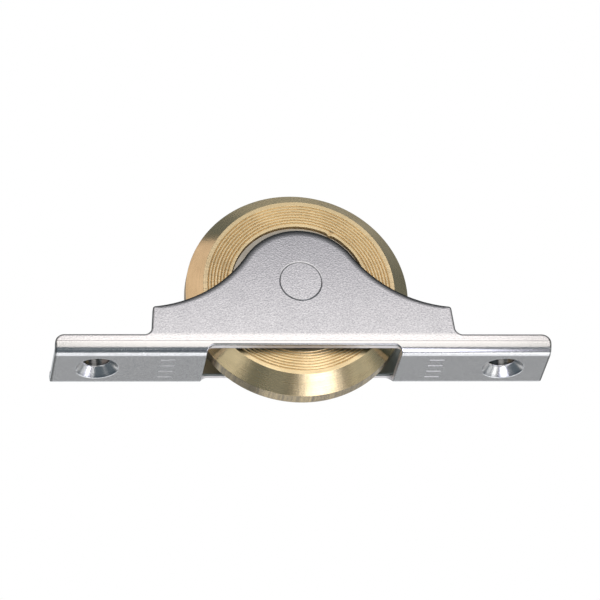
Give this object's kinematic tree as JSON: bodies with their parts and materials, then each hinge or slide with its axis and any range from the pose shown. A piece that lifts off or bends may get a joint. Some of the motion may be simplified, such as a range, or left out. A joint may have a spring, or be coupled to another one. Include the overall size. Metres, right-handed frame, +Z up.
{
  "type": "sliding door roller",
  "caption": "Mortise roller for a sliding door: a pressed steel channel frame with countersunk screw holes carrying a double-bevelled brass wheel on a ball bearing.",
  "frame": {"origin": "centre of the wheel, on its axle, midway between the frame's two cheeks", "axes": "+X along the frame, +Y along the axle towards the rear cheek, +Z up into the door; the wheel stands out below the frame's web"},
  "size_m": [0.0794, 0.0124, 0.036],
  "materials": {
    "frame_steel": "dull rolled stainless sheet, satin",
    "pin_steel": "turned steel, satin",
    "spacer_steel": "turned steel",
    "wheel_brass": "turned brass with concentric tool rings",
    "bearing_steel": "ground bearing steel",
    "shield_steel": "pressed steel",
    "cage_steel": "pressed steel",
    "ball_steel": "polished bearing steel"
  },
  "bodies": {
    "frame": {"frame": "frame_steel", "axle_pin": "pin_steel", "spacer_front": "spacer_steel", "spacer_rear": "spacer_steel", "bearing_inner_ring": "bearing_steel"},
    "wheel": {"wheel": "wheel_brass", "bearing_outer_ring": "bearing_steel", "shield_front": "shield_steel", "shield_rear": "shield_steel"},
    "cage": {"cage_front": "cage_steel", "cage_rear": "cage_steel", "cage_rivet_1": "cage_steel", "cage_rivet_2": "cage_steel", "cage_rivet_3": "cage_steel", "cage_rivet_4": "cage_steel", "cage_rivet_5": "cage_steel", "cage_rivet_6": "cage_steel", "cage_rivet_7": "cage_steel"},
    "ball_1": {"ball_1": "ball_steel"},
    "ball_2": {"ball_2": "ball_steel"},
    "ball_3": {"ball_3": "ball_steel"},
    "ball_4": {"ball_4": "ball_steel"},
    "ball_5": {"ball_5": "ball_steel"},
    "ball_6": {"ball_6": "ball_steel"},
    "ball_7": {"ball_7": "ball_steel"}
  },
  "joints": [
    {"name": "wheel_spin", "type": "hinge", "parent": "frame", "child": "wheel", "pos_m": [0, 0, 0], "axis": [0, 1, 0], "continuous": true},
    {"name": "cage_orbit", "type": "hinge", "parent": "frame", "child": "cage", "pos_m": [0, 0, 0], "axis": [0, 1, 0], "continuous": true},
    {"name": "ball_1_roll", "type": "hinge", "parent": "cage", "child": "ball_1", "pos_m": [0, 0, 0.0075], "axis": [0, 1, 0], "continuous": true},
    {"name": "ball_2_roll", "type": "hinge", "parent": "cage", "child": "ball_2", "pos_m": [-0.00586, 0, 0.00468], "axis": [0, 1, 0], "continuous": true},
    {"name": "ball_3_roll", "type": "hinge", "parent": "cage", "child": "ball_3", "pos_m": [-0.00731, 0, -0.00167], "axis": [0, 1, 0], "continuous": true},
    {"name": "ball_4_roll", "type": "hinge", "parent": "cage", "child": "ball_4", "pos_m": [-0.00325, 0, -0.00676], "axis": [0, 1, 0], "continuous": true},
    {"name": "ball_5_roll", "type": "hinge", "parent": "cage", "child": "ball_5", "pos_m": [0.00325, 0, -0.00676], "axis": [0, 1, 0], "continuous": true},
    {"name": "ball_6_roll", "type": "hinge", "parent": "cage", "child": "ball_6", "pos_m": [0.00731, 0, -0.00167], "axis": [0, 1, 0], "continuous": true},
    {"name": "ball_7_roll", "type": "hinge", "parent": "cage", "child": "ball_7", "pos_m": [0.00586, 0, 0.00468], "axis": [0, 1, 0], "continuous": true}
  ],
  "couplings": [
    {"joint": "cage_orbit", "follows": "wheel_spin", "ratio": 0.6323},
    {"joint": "ball_1_roll", "follows": "wheel_spin", "ratio": 1.7573},
    {"joint": "ball_2_roll", "follows": "wheel_spin", "ratio": 1.7573},
    {"joint": "ball_3_roll", "follows": "wheel_spin", "ratio": 1.7573},
    {"joint": "ball_4_roll", "follows": "wheel_spin", "ratio": 1.7573},
    {"joint": "ball_5_roll", "follows": "wheel_spin", "ratio": 1.7573},
    {"joint": "ball_6_roll", "follows": "wheel_spin", "ratio": 1.7573},
    {"joint": "ball_7_roll", "follows": "wheel_spin", "ratio": 1.7573}
  ]
}
